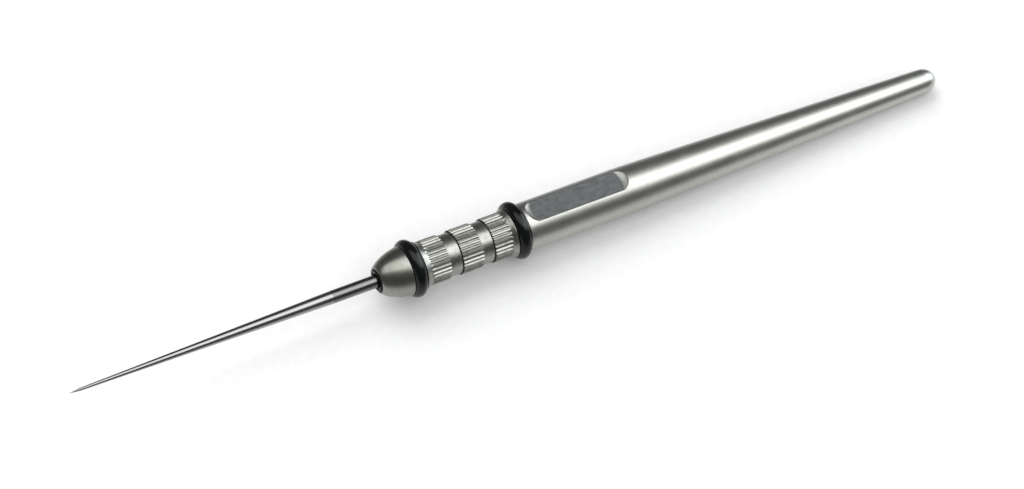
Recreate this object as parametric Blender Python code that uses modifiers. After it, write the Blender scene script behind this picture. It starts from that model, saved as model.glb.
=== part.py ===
"""A needle probe: a long tapered needle, held by a collet in a knurled grip on a tapered handle.

The tool lies along X with its needle's point at -X. Z is up, and Z = 0 is the lowest point of its two
rubber rings. Places along the tool are stations: distances from the needle's point towards the tail.
"""

import math

import bmesh
import bpy

MM = 0.001

# The whole tool
LENGTH = 140.0 * MM
RUNNING_FIT = 0.03 * MM
EDGE = 0.08 * MM

# The two threads, one at each end of the grip
THREAD_PITCH = 0.5 * MM
THREAD_CREST_RADIUS = 2.22 * MM
THREAD_ROOT_RADIUS = 1.94 * MM
THREAD_BORE_RADIUS = 2.0 * MM
THREAD_CREST_WIDTH = 0.1 * MM
THREAD_FLANK_ANGLE = math.radians(30.0)
THREAD_SUNK = 0.04 * MM
FRONT_THREAD_REAR = 51.45 * MM
FRONT_THREAD_TURNS = 3
REAR_THREAD_REAR = 73.85 * MM
REAR_THREAD_TURNS = 5

# Needle
NEEDLE_RADIUS = 0.95 * MM
NEEDLE_LENGTH = 82.0 * MM
TAPER_END = 40.3 * MM
POINT_LENGTH = 1.7 * MM
POINT_RADIUS = 0.23 * MM
POINT_TIP_RADIUS = 0.03 * MM
NEEDLE_TAIL_CHAMFER = 0.25 * MM

# Small ring round the needle, in the mouth of the nose
NEEDLE_RING_STATION = 47.76 * MM
NEEDLE_RING_THICKNESS = 0.89 * MM

# Nose cap, whose outside is part of an ellipse
NOSE_FRONT = 47.50 * MM
NOSE_REAR = 51.76 * MM
OGIVE_STATION = 53.49 * MM
OGIVE_HALF_LENGTH = 6.67 * MM
OGIVE_HALF_HEIGHT = 3.232 * MM
OGIVE_OFFSET = 0.52 * MM
NOSE_HOLE_RADIUS = 1.16 * MM
NOSE_CONE_FRONT = 48.40 * MM
CONE_SLOPE = 0.70

# Collet
COLLET_FRONT = 48.46 * MM
COLLET_REAR = 53.40 * MM
COLLET_HEAD_RADIUS = 1.70 * MM
COLLET_TAIL_RADIUS = 1.42 * MM
COLLET_SLOT_WIDTH = 0.30 * MM
COLLET_SLOT_REAR = 52.60 * MM
CONE_GAP = 0.045 * MM

# Rubber rings on the grip's two necks
RING_BORE_RADIUS = 2.275 * MM
RING_THICKNESS = 2.0 * MM
FRONT_RING_STATION = 52.80 * MM
REAR_RING_STATION = 69.52 * MM

# Knurled grip, with a threaded spigot at each end
SPIGOT_FRONT = 49.70 * MM
SPIGOT_REAR = 74.20 * MM
NECK_FRONT = 51.80 * MM
NECK_REAR = 70.75 * MM
NECK_RADIUS = 2.24 * MM
NECK_STEP = 0.02 * MM
GRIP_FRONT = 53.85 * MM
GRIP_REAR = 68.45 * MM
RIM_RADIUS = 3.65 * MM
KNURL_RADIUS = 3.30 * MM
KNURL_ROOT_RADIUS = 3.12 * MM
GROOVE_RADIUS = 3.08 * MM
KNURL_TEETH = 32
KNURL_CREST_EDGE = 0.16
KNURL_ROOT_EDGE = 0.43
KNURL_BANDS = ((54.70 * MM, 57.76 * MM), (59.70 * MM, 62.98 * MM), (64.84 * MM, 67.79 * MM))
COLLET_SEAT_RADIUS = 1.76 * MM
COLLET_BORE_RADIUS = 1.48 * MM
COLLET_BORE_REAR = 53.60 * MM
NEEDLE_BORE_RADIUS = 1.01 * MM

# Handle
HANDLE_FRONT = 70.58 * MM
HANDLE_RADIUS = 3.51 * MM
HANDLE_TAPER_START = 87.6 * MM
HANDLE_BLEND = 3.0 * MM
TAIL_RADIUS = 1.87 * MM
TAIL_LENGTH = 2.3 * MM
HANDLE_MOUTH_RADIUS = 2.32 * MM
HANDLE_MOUTH_REAR = 71.10 * MM
HANDLE_THREAD_REAR = 74.70 * MM
HANDLE_BORE_RADIUS = 1.2 * MM
HANDLE_BORE_REAR = 81.83 * MM
DRILL_POINT = 0.6 * MM

# Milled flat on top of the handle
FLAT_FRONT = 72.15 * MM
FLAT_REAR = 86.33 * MM
FLAT_HEIGHT = 3.06 * MM
FLAT_CUTTER_RADIUS = 1.64 * MM

# How far a cutter runs past the end that it opens
PAST_END = 1.0 * MM

AXIS_HEIGHT = RING_BORE_RADIUS + RING_THICKNESS

# How finely round shapes are divided
TURNED_STEPS = 48
NEEDLE_STEPS = 24
COLLET_STEPS = 24
RING_STEPS = 24
RING_SECTION_STEPS = 12
OGIVE_STEPS = 7
OGIVE_CROWDING = 1.4
SEAT_STEPS = 4
BLEND_STEPS = 3
TAIL_STEPS = 7
CUTTER_STEPS = 24
FRONT_THREAD_STEPS = 24
REAR_THREAD_STEPS = 12
SHARP_ANGLE = math.radians(30.0)

STEEL = (0.56, 0.57, 0.55, 1.0)
DARK_STEEL = (0.30, 0.30, 0.30, 1.0)
POLISHED_STEEL = (0.66, 0.67, 0.67, 1.0)
RUBBER = (0.012, 0.013, 0.014, 1.0)


def clear_scene():
    for obj in list(bpy.data.objects):
        bpy.data.objects.remove(obj, do_unlink=True)


def new_collection(name):
    collection = bpy.data.collections.new(name)
    bpy.context.scene.collection.children.link(collection)
    return collection


def add_object(name, mesh, collection, station):
    """Puts an object's origin on the tool's axis at a station, with its own +Z towards the needle's point."""
    obj = bpy.data.objects.new(name, mesh)
    collection.objects.link(obj)
    obj.location = (station - LENGTH / 2, 0.0, AXIS_HEIGHT)
    obj.rotation_euler = (0.0, -math.pi / 2, 0.0)
    return obj


def settle(obj):
    """Replaces an object's mesh by what its modifiers make of it."""
    bpy.context.view_layer.update()
    graph = bpy.context.evaluated_depsgraph_get()
    mesh = bpy.data.meshes.new_from_object(obj.evaluated_get(graph))
    obj.modifiers.clear()
    obj.data = mesh


def turn(name, outline, collection, station, steps=TURNED_STEPS, closed=True, start_angle=0.0):
    """Turns an outline of (station, radius) points about the tool's axis.

    The outline runs along the outer side towards the tail and comes back along any bore. One that
    isn't closed starts and ends on the axis.
    """
    across, up = math.sin(start_angle), math.cos(start_angle)
    points = [(radius * up, radius * across, station - along) for along, radius in outline]
    edges = [(i, i + 1) for i in range(len(points) - 1)]
    if closed:
        edges.append((len(points) - 1, 0))
    mesh = bpy.data.meshes.new(name)
    mesh.from_pydata(points, edges, [])
    obj = add_object(name, mesh, collection, station)
    screw = obj.modifiers.new("turn", "SCREW")
    screw.steps = steps
    screw.render_steps = steps
    screw.use_merge_vertices = True
    screw.merge_threshold = 1e-7
    settle(obj)
    return obj


def ring_outline(ring_station, bore_radius, thickness):
    section_radius = thickness / 2
    middle = bore_radius + section_radius
    return arc(ring_station, middle, section_radius, 180.0, -180.0, RING_SECTION_STEPS)[:-1]


def turn_neck_ring(name, ring_station, collection):
    """A rubber ring that the tool rests on.

    Its flats, not its corners, are on the true circles, and one of them is at the bottom.
    """
    half_step = math.pi / RING_STEPS
    outline = [
        (along, radius / math.cos(half_step))
        for along, radius in ring_outline(ring_station, RING_BORE_RADIUS, RING_THICKNESS)
    ]
    return turn(name, outline, collection, ring_station, RING_STEPS, start_angle=half_step)


def wind_thread(name, inner_radius, gap, rear, turns, steps, collection):
    """The helical ridge of a right-hand thread, from its rear station towards the needle's point.

    gap makes it larger all round, for cutting the nut.
    """
    crest_radius = THREAD_CREST_RADIUS + gap

    def half_width(radius):
        flank = (THREAD_CREST_RADIUS - radius) * math.tan(THREAD_FLANK_ANGLE)
        return THREAD_CREST_WIDTH / 2 + flank + gap / math.cos(THREAD_FLANK_ANGLE)

    inner, crest = half_width(inner_radius), half_width(crest_radius)
    points = [
        (inner_radius, 0.0, inner),
        (crest_radius, 0.0, crest),
        (crest_radius, 0.0, -crest),
        (inner_radius, 0.0, -inner),
    ]
    mesh = bpy.data.meshes.new(name)
    mesh.from_pydata(points, [(0, 1), (1, 2), (2, 3), (3, 0)], [])
    obj = add_object(name, mesh, collection, rear)
    screw = obj.modifiers.new("wind", "SCREW")
    screw.screw_offset = THREAD_PITCH
    screw.iterations = turns
    screw.steps = steps
    screw.render_steps = steps
    screw.use_merge_vertices = True
    screw.merge_threshold = 1e-7
    settle(obj)
    ridge = bmesh.new()
    ridge.from_mesh(obj.data)
    bmesh.ops.holes_fill(ridge, edges=[edge for edge in ridge.edges if edge.is_boundary])
    bmesh.ops.recalc_face_normals(ridge, faces=ridge.faces)
    ridge.to_mesh(obj.data)
    ridge.free()
    return obj


def extrude(name, points, thickness, collection, station):
    """A flat outline of (x, y) points in the object's own axes, made thick both ways along its own Z."""
    curve = bpy.data.curves.new(name, "CURVE")
    curve.dimensions = "2D"
    curve.fill_mode = "BOTH"
    curve.extrude = thickness / 2
    spline = curve.splines.new("POLY")
    spline.points.add(len(points) - 1)
    for point, (x, y) in zip(spline.points, points):
        point.co = (x, y, 0.0, 1.0)
    spline.use_cyclic_u = True
    guide = bpy.data.objects.new(name + "_outline", curve)
    collection.objects.link(guide)
    bpy.context.view_layer.update()
    graph = bpy.context.evaluated_depsgraph_get()
    mesh = bpy.data.meshes.new_from_object(guide.evaluated_get(graph))
    bpy.data.objects.remove(guide, do_unlink=True)
    solid = bmesh.new()
    solid.from_mesh(mesh)
    bmesh.ops.remove_doubles(solid, verts=solid.verts, dist=1e-7)
    bmesh.ops.recalc_face_normals(solid, faces=solid.faces)
    solid.to_mesh(mesh)
    solid.free()
    return add_object(name, mesh, collection, station)


def combine(obj, others, operation):
    """Joins or cuts with each of the others, which stay as hidden helpers."""
    for other in others:
        boolean = obj.modifiers.new(other.name, "BOOLEAN")
        boolean.operation = operation
        boolean.solver = "EXACT"
        boolean.object = other
    settle(obj)


def arc(station, radius, arc_radius, start_degrees, end_degrees, count):
    """Points on a circle about (station, radius): 0 degrees is towards the tail, 90 outwards."""
    points = []
    for i in range(count + 1):
        angle = math.radians(start_degrees + (end_degrees - start_degrees) * i / count)
        points.append((station + arc_radius * math.cos(angle), radius + arc_radius * math.sin(angle)))
    return points


def make_needle(parts):
    outline = [
        (0.0, 0.0),
        (0.0, POINT_TIP_RADIUS),
        (POINT_LENGTH, POINT_RADIUS),
        (TAPER_END, NEEDLE_RADIUS),
        (NEEDLE_LENGTH - NEEDLE_TAIL_CHAMFER, NEEDLE_RADIUS),
        (NEEDLE_LENGTH, NEEDLE_RADIUS - NEEDLE_TAIL_CHAMFER),
        (NEEDLE_LENGTH, 0.0),
    ]
    return turn("needle", outline, parts, TAPER_END, NEEDLE_STEPS, closed=False)


def ogive_radius(station):
    across = (OGIVE_STATION - station) / OGIVE_HALF_LENGTH
    return OGIVE_OFFSET + OGIVE_HALF_HEIGHT * math.sqrt(1.0 - across * across)


def nose_cone_radius(station):
    return NOSE_HOLE_RADIUS + CONE_SLOPE * (station - NOSE_CONE_FRONT)


def make_nose_cap(parts, helpers):
    last = NOSE_REAR - EDGE
    outside = []
    for i in range(OGIVE_STEPS + 1):
        station = NOSE_FRONT + (last - NOSE_FRONT) * (i / OGIVE_STEPS) ** OGIVE_CROWDING
        outside.append((station, ogive_radius(station)))
    cone_rear = NOSE_CONE_FRONT + (THREAD_BORE_RADIUS - NOSE_HOLE_RADIUS) / CONE_SLOPE
    ring_middle = NEEDLE_RADIUS + RUNNING_FIT + NEEDLE_RING_THICKNESS / 2
    seat_radius = NEEDLE_RING_THICKNESS / 2 + RUNNING_FIT
    seat_end = math.degrees(math.acos((NOSE_FRONT - NEEDLE_RING_STATION) / seat_radius))
    outline = outside + [
        (NOSE_REAR, ogive_radius(last) - EDGE),
        (NOSE_REAR, THREAD_BORE_RADIUS),
        (cone_rear, THREAD_BORE_RADIUS),
        (NOSE_CONE_FRONT, NOSE_HOLE_RADIUS),
        (NEEDLE_RING_STATION + seat_radius, NOSE_HOLE_RADIUS),
    ]
    outline += arc(NEEDLE_RING_STATION, ring_middle, seat_radius, 0.0, seat_end, SEAT_STEPS)
    cap = turn("nose_cap", outline, parts, NOSE_FRONT)
    tap = wind_thread(
        "nose_tap",
        THREAD_BORE_RADIUS - THREAD_SUNK,
        RUNNING_FIT,
        FRONT_THREAD_REAR + THREAD_PITCH,
        FRONT_THREAD_TURNS + 2,
        FRONT_THREAD_STEPS,
        helpers,
    )
    combine(cap, [tap], "DIFFERENCE")
    return cap


def make_collet(parts, helpers):
    head_front = NOSE_CONE_FRONT + (COLLET_HEAD_RADIUS + CONE_GAP - NOSE_HOLE_RADIUS) / CONE_SLOPE
    head_rear = SPIGOT_FRONT + (COLLET_SEAT_RADIUS - CONE_GAP - COLLET_HEAD_RADIUS) / CONE_SLOPE
    tail_front = SPIGOT_FRONT + (COLLET_SEAT_RADIUS - CONE_GAP - COLLET_TAIL_RADIUS) / CONE_SLOPE
    bore = NEEDLE_RADIUS + RUNNING_FIT
    outline = [
        (COLLET_FRONT, nose_cone_radius(COLLET_FRONT) - CONE_GAP),
        (head_front, COLLET_HEAD_RADIUS),
        (head_rear, COLLET_HEAD_RADIUS),
        (tail_front, COLLET_TAIL_RADIUS),
        (COLLET_REAR, COLLET_TAIL_RADIUS),
        (COLLET_REAR, bore),
        (COLLET_FRONT, bore),
    ]
    collet = turn("collet", outline, parts, COLLET_FRONT, COLLET_STEPS)
    across = 4 * COLLET_HEAD_RADIUS
    half_slot = COLLET_SLOT_WIDTH / 2
    length = 2 * (COLLET_SLOT_REAR - COLLET_FRONT)
    slots = []
    for name, half_x, half_y in (
        ("upright_slot", across / 2, half_slot),
        ("level_slot", half_slot, across / 2),
    ):
        corners = [(-half_x, -half_y), (half_x, -half_y), (half_x, half_y), (-half_x, half_y)]
        slots.append(extrude(name, corners, length, helpers, COLLET_FRONT))
    combine(collet, slots, "DIFFERENCE")
    return collet


def knurl_points():
    """One tooth after another round the grip: crest, flank, root, flank."""
    points = []
    for tooth in range(KNURL_TEETH):
        for share, radius in (
            (-KNURL_CREST_EDGE, KNURL_RADIUS),
            (KNURL_CREST_EDGE, KNURL_RADIUS),
            (KNURL_ROOT_EDGE, KNURL_ROOT_RADIUS),
            (1.0 - KNURL_ROOT_EDGE, KNURL_ROOT_RADIUS),
        ):
            angle = 2 * math.pi * (tooth + share) / KNURL_TEETH
            points.append((radius * math.cos(angle), radius * math.sin(angle)))
    return points


def make_grip(parts, helpers):
    # Each rim's cone crosses the knurl's crests at the end of the nearest band, and runs on to the root.
    cone_share = (RIM_RADIUS - GROOVE_RADIUS) / (RIM_RADIUS - KNURL_RADIUS)
    front_cone_length = (KNURL_BANDS[0][0] - GRIP_FRONT - EDGE) * cone_share
    rear_cone_length = (GRIP_REAR - EDGE - KNURL_BANDS[-1][1]) * cone_share
    outline = [
        (SPIGOT_FRONT, 0.0),
        (SPIGOT_FRONT, THREAD_ROOT_RADIUS - EDGE),
        (SPIGOT_FRONT + EDGE, THREAD_ROOT_RADIUS),
        (NECK_FRONT - NECK_STEP, THREAD_ROOT_RADIUS),
        (NECK_FRONT, NECK_RADIUS),
        (GRIP_FRONT, NECK_RADIUS),
        (GRIP_FRONT, RIM_RADIUS - EDGE),
        (GRIP_FRONT + EDGE, RIM_RADIUS),
        (GRIP_FRONT + EDGE + front_cone_length, GROOVE_RADIUS),
        (GRIP_REAR - EDGE - rear_cone_length, GROOVE_RADIUS),
        (GRIP_REAR - EDGE, RIM_RADIUS),
        (GRIP_REAR, RIM_RADIUS - EDGE),
        (GRIP_REAR, NECK_RADIUS),
        (NECK_REAR, NECK_RADIUS),
        (NECK_REAR + NECK_STEP, THREAD_ROOT_RADIUS),
        (SPIGOT_REAR - EDGE, THREAD_ROOT_RADIUS),
        (SPIGOT_REAR, THREAD_ROOT_RADIUS - EDGE),
        (SPIGOT_REAR, 0.0),
    ]
    grip = turn("knurled_grip", outline, parts, GRIP_FRONT, closed=False)
    added = []
    for number, (front, rear) in enumerate(KNURL_BANDS, start=1):
        sunk_front = front - 2 * EDGE if number == 1 else front
        sunk_rear = rear + 2 * EDGE if number == len(KNURL_BANDS) else rear
        middle = (sunk_front + sunk_rear) / 2
        length = sunk_rear - sunk_front
        added.append(extrude(f"knurl_band_{number}", knurl_points(), length, helpers, middle))
    for name, rear, turns, steps in (
        ("front_thread", FRONT_THREAD_REAR, FRONT_THREAD_TURNS, FRONT_THREAD_STEPS),
        ("rear_thread", REAR_THREAD_REAR, REAR_THREAD_TURNS, REAR_THREAD_STEPS),
    ):
        added.append(wind_thread(name, THREAD_ROOT_RADIUS - THREAD_SUNK, 0.0, rear, turns, steps, helpers))
    combine(grip, added, "UNION")
    combine(grip, [make_grip_drill(helpers)], "DIFFERENCE")
    return grip


def make_grip_drill(helpers):
    """The collet's seat and bore, and the needle's bore behind it."""
    seat_rear = SPIGOT_FRONT + (COLLET_SEAT_RADIUS - COLLET_BORE_RADIUS) / CONE_SLOPE
    outline = [
        (SPIGOT_FRONT - PAST_END, 0.0),
        (SPIGOT_FRONT - PAST_END, COLLET_SEAT_RADIUS + CONE_SLOPE * PAST_END),
        (seat_rear, COLLET_BORE_RADIUS),
        (COLLET_BORE_REAR, COLLET_BORE_RADIUS),
        (COLLET_BORE_REAR, NEEDLE_BORE_RADIUS),
        (SPIGOT_REAR + PAST_END, NEEDLE_BORE_RADIUS),
        (SPIGOT_REAR + PAST_END, 0.0),
    ]
    return turn("grip_drill", outline, helpers, SPIGOT_FRONT, COLLET_STEPS, closed=False)


def handle_outer_radius(station):
    """Parallel, then a straight taper to the rounded tail, with a parabola to blend one into the other."""
    slope = (HANDLE_RADIUS - TAIL_RADIUS) / (LENGTH - TAIL_LENGTH - HANDLE_TAPER_START)
    past = station - HANDLE_TAPER_START
    if past <= -HANDLE_BLEND:
        return HANDLE_RADIUS
    if past >= HANDLE_BLEND:
        return HANDLE_RADIUS - slope * past
    return HANDLE_RADIUS - slope * (past + HANDLE_BLEND) ** 2 / (4 * HANDLE_BLEND)


def make_handle(parts, helpers):
    outline = [
        (HANDLE_BORE_REAR + DRILL_POINT, 0.0),
        (HANDLE_BORE_REAR, HANDLE_BORE_RADIUS),
        (HANDLE_THREAD_REAR, HANDLE_BORE_RADIUS),
        (HANDLE_THREAD_REAR, THREAD_BORE_RADIUS),
        (HANDLE_MOUTH_REAR, THREAD_BORE_RADIUS),
        (HANDLE_MOUTH_REAR, HANDLE_MOUTH_RADIUS),
        (HANDLE_FRONT, HANDLE_MOUTH_RADIUS),
        (HANDLE_FRONT, HANDLE_RADIUS - EDGE),
        (HANDLE_FRONT + EDGE, HANDLE_RADIUS),
    ]
    for i in range(BLEND_STEPS + 1):
        station = HANDLE_TAPER_START + HANDLE_BLEND * (2 * i / BLEND_STEPS - 1.0)
        outline.append((station, handle_outer_radius(station)))
    for along, radius in arc(0.0, 0.0, TAIL_RADIUS, 90.0, 0.0, TAIL_STEPS)[:-1]:
        outline.append((LENGTH - TAIL_LENGTH + along * TAIL_LENGTH / TAIL_RADIUS, radius))
    outline.append((LENGTH, 0.0))
    handle = turn("handle", outline, parts, HANDLE_FRONT, closed=False)
    tap = wind_thread(
        "handle_tap",
        THREAD_BORE_RADIUS - THREAD_SUNK,
        RUNNING_FIT,
        REAR_THREAD_REAR + THREAD_PITCH,
        REAR_THREAD_TURNS + 2,
        REAR_THREAD_STEPS,
        helpers,
    )
    combine(handle, [tap, make_flat_cutter(helpers)], "DIFFERENCE")
    return handle


def make_flat_cutter(helpers):
    """The path of a small milling cutter, whose axis lies across the handle."""
    height = FLAT_HEIGHT + FLAT_CUTTER_RADIUS
    outline = arc(FLAT_REAR - FLAT_FRONT, height, FLAT_CUTTER_RADIUS, -90.0, 90.0, CUTTER_STEPS)
    outline += arc(0.0, height, FLAT_CUTTER_RADIUS, 90.0, 270.0, CUTTER_STEPS)
    cutter = extrude("flat_cutter", outline, 4 * HANDLE_RADIUS, helpers, FLAT_FRONT)
    cutter.rotation_euler = (math.pi / 2, 0.0, 0.0)
    return cutter


def give_material(objects, name, colour, metallic, roughness):
    material = bpy.data.materials.new(name)
    material.use_nodes = True
    shader = material.node_tree.nodes["Principled BSDF"]
    shader.inputs["Base Color"].default_value = colour
    shader.inputs["Metallic"].default_value = metallic
    shader.inputs["Roughness"].default_value = roughness
    for obj in objects:
        obj.data.materials.clear()
        obj.data.materials.append(material)


def main():
    clear_scene()
    parts = new_collection("needle_probe")
    helpers = new_collection("cutters")

    needle = make_needle(parts)
    needle_ring_shape = ring_outline(NEEDLE_RING_STATION, NEEDLE_RADIUS + RUNNING_FIT, NEEDLE_RING_THICKNESS)
    needle_ring = turn("needle_o_ring", needle_ring_shape, parts, NEEDLE_RING_STATION, NEEDLE_STEPS)
    nose_cap = make_nose_cap(parts, helpers)
    collet = make_collet(parts, helpers)
    front_ring = turn_neck_ring("front_o_ring", FRONT_RING_STATION, parts)
    grip = make_grip(parts, helpers)
    rear_ring = turn_neck_ring("rear_o_ring", REAR_RING_STATION, parts)
    handle = make_handle(parts, helpers)

    give_material([handle], "handle_steel", STEEL, 1.0, 0.32)
    give_material([grip], "grip_steel", STEEL, 1.0, 0.34)
    give_material([nose_cap], "nose_steel", STEEL, 1.0, 0.30)
    give_material([collet], "collet_steel", DARK_STEEL, 1.0, 0.40)
    give_material([needle], "needle_steel", POLISHED_STEEL, 1.0, 0.14)
    give_material([front_ring, rear_ring, needle_ring], "black_rubber", RUBBER, 0.0, 0.35)

    for obj in parts.objects:
        obj.data.shade_smooth()
        obj.data.set_sharp_from_angle(angle=SHARP_ANGLE)
    for helper in helpers.objects:
        helper.hide_render = True
        helper.display_type = "WIRE"


main()
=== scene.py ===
import math

import bmesh
import bpy
import numpy as np
from mathutils import Matrix, Vector


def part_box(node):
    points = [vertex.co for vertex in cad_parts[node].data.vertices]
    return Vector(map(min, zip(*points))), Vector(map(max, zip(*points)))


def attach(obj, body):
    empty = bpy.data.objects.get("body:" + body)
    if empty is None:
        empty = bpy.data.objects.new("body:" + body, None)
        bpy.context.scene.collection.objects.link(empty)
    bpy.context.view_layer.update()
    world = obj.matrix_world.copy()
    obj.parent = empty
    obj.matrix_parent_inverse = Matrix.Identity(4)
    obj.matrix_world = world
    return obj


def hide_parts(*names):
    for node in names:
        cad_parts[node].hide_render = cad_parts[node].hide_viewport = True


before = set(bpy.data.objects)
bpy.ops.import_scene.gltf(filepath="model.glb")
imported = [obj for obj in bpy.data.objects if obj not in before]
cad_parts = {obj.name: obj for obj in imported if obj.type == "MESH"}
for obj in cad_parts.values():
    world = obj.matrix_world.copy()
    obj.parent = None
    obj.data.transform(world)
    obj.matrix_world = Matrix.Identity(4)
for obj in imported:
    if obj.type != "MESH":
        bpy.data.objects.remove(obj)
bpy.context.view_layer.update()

MM = 0.001

# ---------------------------------------------------------------------------------------------------
# Places, from the frame. Stations are distances from the needle's point towards the tail.
# ---------------------------------------------------------------------------------------------------
needle_low, needle_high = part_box("needle")
nose_low, nose_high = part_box("nose_cap")
grip_low, grip_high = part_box("knurled_grip")
handle_low, handle_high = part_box("handle")
needle_ring_low, needle_ring_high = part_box("needle_o_ring")
front_ring_low, front_ring_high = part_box("front_o_ring")
rear_ring_low, rear_ring_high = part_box("rear_o_ring")

TIP_X = needle_low.x
AXIS_Z = (rear_ring_low.z + rear_ring_high.z) / 2


def station_of(x):
    return x - TIP_X


LENGTH = station_of(handle_high.x)
NEEDLE_RADIUS = needle_high.y
NEEDLE_REAR = station_of(needle_high.x)
NOSE_FRONT = station_of(nose_low.x)
NOSE_REAR = station_of(nose_high.x)
SPIGOT_FRONT = station_of(grip_low.x)
SPIGOT_REAR = station_of(grip_high.x)
RIM_RADIUS = grip_high.y
HANDLE_FRONT = station_of(handle_low.x)
HANDLE_RADIUS = handle_high.y

# Details between those places, the same as the CAD model's
TAPER_END = 40.3 * MM
POINT_LENGTH = 1.7 * MM
POINT_RADIUS = 0.23 * MM
POINT_TIP_RADIUS = 0.03 * MM
NEEDLE_TAIL_CHAMFER = 0.25 * MM

OGIVE_STATION = 53.49 * MM
OGIVE_HALF_LENGTH = 6.67 * MM
OGIVE_HALF_HEIGHT = 3.232 * MM
OGIVE_OFFSET = 0.52 * MM
NOSE_HOLE_RADIUS = 1.16 * MM
NOSE_CONE_FRONT = 48.40 * MM
CONE_SLOPE = 0.70
RING_SEAT_GAP = 0.03 * MM
NOSE_LIP = 0.02 * MM
NOSE_EDGE = 0.07 * MM
NOSE_MOUTH_DEPTH = 0.08 * MM
NOSE_MOUTH_STEP = 0.1 * MM

THREAD_PITCH = 0.5 * MM
THREAD_CREST_RADIUS = 2.22 * MM
THREAD_ROOT_RADIUS = 1.94 * MM
THREAD_BORE_RADIUS = 2.0 * MM
THREAD_CREST_WIDTH = 0.1 * MM
THREAD_FLANK = math.tan(math.radians(30.0))
THREAD_GAP = 0.03 * MM
THREAD_STOP_GAP = 0.03 * MM
NOSE_RUN_OUT = 0.15 * MM
SPIGOT_RUN_OUT = 0.12 * MM
HANDLE_RUN_OUT = 0.2 * MM
FRONT_THREAD_REAR = 51.45 * MM
REAR_THREAD_REAR = 73.85 * MM

NECK_FRONT = 51.80 * MM
NECK_REAR = 70.75 * MM
NECK_RADIUS = 2.24 * MM
GRIP_FRONT = 53.85 * MM
GRIP_REAR = 68.45 * MM
KNURL_RADIUS = 3.30 * MM
KNURL_ROOT_RADIUS = 3.12 * MM
GROOVE_RADIUS = 3.08 * MM
KNURL_TEETH = 32
KNURL_CREST_EDGE = 0.15
KNURL_ROOT_EDGE = 0.43
KNURL_EDGE = 0.04 * MM
GROOVE_STEP = 0.005 * MM
KNURL_BANDS = ((54.70 * MM, 57.76 * MM), (59.70 * MM, 62.98 * MM), (64.84 * MM, 67.79 * MM))
RIM_STEP = 0.02 * MM
RIM_EDGE = 0.08 * MM
RIM_CORNER = 0.06 * MM
NECK_CORNER = 0.1 * MM
FRONT_CONE_RUN = 0.45 * MM
REAR_CONE_RUN = 0.35 * MM
SPIGOT_CHAMFER = 0.08 * MM
COLLET_SEAT_RADIUS = 1.76 * MM
COLLET_BORE_RADIUS = 1.48 * MM
COLLET_BORE_REAR = 53.60 * MM
NEEDLE_BORE_RADIUS = 1.01 * MM

HANDLE_TAPER_START = 87.6 * MM
HANDLE_BLEND = 3.0 * MM
TAIL_RADIUS = 1.87 * MM
TAIL_LENGTH = 2.3 * MM
HANDLE_MOUTH_RADIUS = 2.32 * MM
HANDLE_MOUTH_REAR = 71.10 * MM
HANDLE_MOUTH_STEP = 0.01 * MM
HANDLE_THREAD_REAR = 74.70 * MM
HANDLE_BORE_RADIUS = 1.2 * MM
HANDLE_BORE_REAR = 81.83 * MM
DRILL_POINT = 0.6 * MM
HANDLE_EDGE = 0.1 * MM
FLAT_FRONT = 72.15 * MM
FLAT_REAR = 86.33 * MM
FLAT_HEIGHT = 3.06 * MM
FLAT_CUTTER_RADIUS = 1.64 * MM
FLAT_END_BOW = 0.35 * MM
FLAT_HALF_WIDTH = math.sqrt(HANDLE_RADIUS**2 - FLAT_HEIGHT**2)

# How finely pieces are divided, round the axis and along it
NEEDLE_STEPS = 96
TURNED_STEPS = 256
KNURL_STEPS = KNURL_TEETH * 14
RING_STEPS = 192
NEEDLE_RING_STEPS = 96
RING_SECTION_STEPS = 48
TIP_STEPS = 4
SEAT_STEPS = 12
CONE_STEPS = 10
TAIL_STEPS = 16
CUTTER_END_STEPS = 48
POINT_SPACING = 0.2 * MM
TAPER_SPACING = 0.8 * MM
SHANK_SPACING = 2.0 * MM
OGIVE_SPACING = 0.12 * MM
KNURL_SPACING = 0.25 * MM
HANDLE_SPACING = 1.0 * MM
CUTTER_SPACING = 0.1 * MM
NOSE_THREAD_SPACING = 0.03 * MM
FRONT_THREAD_SPACING = 0.025 * MM
REAR_THREAD_SPACING = 0.075 * MM
HANDLE_THREAD_SPACING = 0.05 * MM
SHARP_ANGLE = math.radians(35.0)
RING_SHARP_ANGLE = math.radians(80.0)
HANDLE_SHARP_ANGLE = math.radians(12.0)


# ---------------------------------------------------------------------------------------------------
# Shapes
# ---------------------------------------------------------------------------------------------------
def round_angles(steps):
    return np.arange(steps) * (2 * math.pi / steps)


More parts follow.
